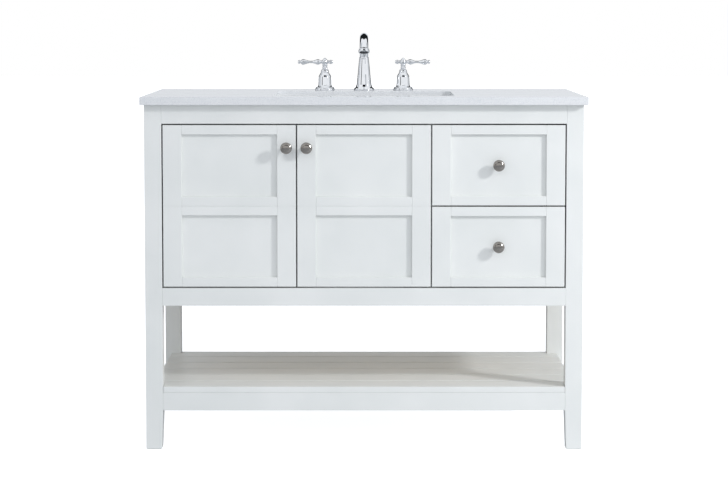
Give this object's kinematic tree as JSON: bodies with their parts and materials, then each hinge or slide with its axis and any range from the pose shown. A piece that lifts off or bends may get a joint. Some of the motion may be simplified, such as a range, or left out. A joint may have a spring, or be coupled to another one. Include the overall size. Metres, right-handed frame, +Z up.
{
  "type": "bathroom vanity cabinet",
  "caption": "Freestanding bathroom vanity on square legs: doors and drawers above an open slatted shelf, stone top, undermount basin, widespread lever taps.",
  "frame": {"origin": "on the floor, under the middle of the whole vanity's bounding box", "axes": "+X to the right as seen from the front, +Y towards the wall, +Z up"},
  "size_m": [1.067, 0.566, 1],
  "materials": {
    "painted_frame": "satin white paint on solid wood",
    "painted_panel": "satin white paint on board",
    "birch": "clear lacquer on birch ply",
    "quartz": "polished white quartz",
    "glazed_basin": "glossy white glaze",
    "chrome": "polished chrome plate",
    "brass": "machined brass",
    "nickel": "brushed nickel",
    "zinc_steel": "zinc-plated steel",
    "nylon": "moulded grey nylon"
  },
  "bodies": {
    "cabinet": {"leg_front_left": "painted_frame", "leg_front_right": "painted_frame", "leg_back_left": "painted_frame", "leg_back_right": "painted_frame", "leg_levellers": "nylon", "case_rails": "painted_frame", "side_rails": "painted_frame", "side_panels": "painted_panel", "back_panel": "painted_panel", "cabinet_floor": "painted_panel", "partition": "painted_panel", "slide_spacers": "birch", "shelf_rails": "painted_frame", "shelf_slats": "painted_frame", "countertop": "quartz", "sink_basin": "glazed_basin", "drain_flange": "chrome", "drain_tailpiece": "chrome", "mounting_nuts": "brass", "spout": "chrome", "spout_aerator": "nylon", "handle_bases": "chrome", "tap_valves": "brass", "hinge_arms": "zinc_steel", "outer_slides": "zinc_steel"},
    "left_door": {"left_door_stiles": "painted_frame", "left_door_rails": "painted_frame", "left_door_panels": "painted_panel", "left_door_knob": "nickel", "left_door_hinge_cups": "zinc_steel"},
    "right_door": {"right_door_stiles": "painted_frame", "right_door_rails": "painted_frame", "right_door_panels": "painted_panel", "right_door_knob": "nickel", "right_door_hinge_cups": "zinc_steel"},
    "upper_drawer": {"upper_drawer_stiles": "painted_frame", "upper_drawer_rails": "painted_frame", "upper_drawer_panel": "painted_panel", "upper_drawer_knob": "nickel", "upper_drawer_sides": "birch", "upper_drawer_ends": "birch", "upper_drawer_bottom": "birch", "upper_inner_slides": "zinc_steel"},
    "lower_drawer": {"lower_drawer_stiles": "painted_frame", "lower_drawer_rails": "painted_frame", "lower_drawer_panel": "painted_panel", "lower_drawer_knob": "nickel", "lower_drawer_sides": "birch", "lower_drawer_ends": "birch", "lower_drawer_bottom": "birch", "lower_inner_slides": "zinc_steel"},
    "upper_slide_middles": {"upper_middle_slides": "zinc_steel"},
    "lower_slide_middles": {"lower_middle_slides": "zinc_steel"},
    "tap_handle_left": {"handle_left": "chrome"},
    "tap_handle_right": {"handle_right": "chrome"},
    "stopper": {"drain_stopper": "chrome"},
    "left_door_hinge_levers": {"left_door_hinge_levers": "zinc_steel"},
    "left_door_hinge_links": {"left_door_hinge_links": "zinc_steel"},
    "right_door_hinge_levers": {"right_door_hinge_levers": "zinc_steel"},
    "right_door_hinge_links": {"right_door_hinge_links": "zinc_steel"}
  },
  "joints": [
    {"name": "left_door_swing", "type": "hinge", "parent": "cabinet", "child": "left_door", "pos_m": [-0.4808, -0.256, 0.58925], "axis": [0, 0, -1], "range_deg": [0, 105]},
    {"name": "right_door_swing", "type": "hinge", "parent": "cabinet", "child": "right_door", "pos_m": [0.15973, -0.256, 0.58925], "axis": [0, 0, 1], "range_deg": [0, 90]},
    {"name": "left_lever_turn", "type": "hinge", "parent": "cabinet", "child": "left_door_hinge_levers", "pos_m": [-0.4628, -0.23, 0.58925], "axis": [0, 0, -1], "range_deg": [0, 105]},
    {"name": "left_link_turn", "type": "hinge", "parent": "left_door", "child": "left_door_hinge_links", "pos_m": [-0.4508, -0.24, 0.58925], "axis": [0, 0, 1], "range_deg": [0, 105]},
    {"name": "right_lever_turn", "type": "hinge", "parent": "cabinet", "child": "right_door_hinge_levers", "pos_m": [0.14173, -0.23, 0.58925], "axis": [0, 0, 1], "range_deg": [0, 90]},
    {"name": "right_link_turn", "type": "hinge", "parent": "right_door", "child": "right_door_hinge_links", "pos_m": [0.12973, -0.24, 0.58925], "axis": [0, 0, -1], "range_deg": [0, 90]},
    {"name": "upper_drawer_pull", "type": "slide", "parent": "cabinet", "child": "upper_drawer", "axis": [0, -1, 0], "range_m": [0, 0.4]},
    {"name": "upper_slide_run", "type": "slide", "parent": "cabinet", "child": "upper_slide_middles", "axis": [0, -1, 0], "range_m": [0, 0.2]},
    {"name": "lower_drawer_pull", "type": "slide", "parent": "cabinet", "child": "lower_drawer", "axis": [0, -1, 0], "range_m": [0, 0.4]},
    {"name": "lower_slide_run", "type": "slide", "parent": "cabinet", "child": "lower_slide_middles", "axis": [0, -1, 0], "range_m": [0, 0.2]},
    {"name": "left_tap_turn", "type": "hinge", "parent": "cabinet", "child": "tap_handle_left", "pos_m": [-0.1016, 0.195, 0.92], "axis": [0, 0, 1], "range_deg": [0, 90]},
    {"name": "right_tap_turn", "type": "hinge", "parent": "cabinet", "child": "tap_handle_right", "pos_m": [0.1016, 0.195, 0.92], "axis": [0, 0, -1], "range_deg": [0, 90]},
    {"name": "stopper_lift", "type": "slide", "parent": "cabinet", "child": "stopper", "axis": [0, 0, 1], "range_m": [0, 0.009]}
  ],
  "couplings": [
    {"joint": "left_lever_turn", "follows": "left_door_swing", "ratio": 1},
    {"joint": "left_link_turn", "follows": "left_door_swing", "ratio": 1},
    {"joint": "right_lever_turn", "follows": "right_door_swing", "ratio": 1},
    {"joint": "right_link_turn", "follows": "right_door_swing", "ratio": 1},
    {"joint": "upper_slide_run", "follows": "upper_drawer_pull", "ratio": 0.5},
    {"joint": "lower_slide_run", "follows": "lower_drawer_pull", "ratio": 0.5}
  ]
}
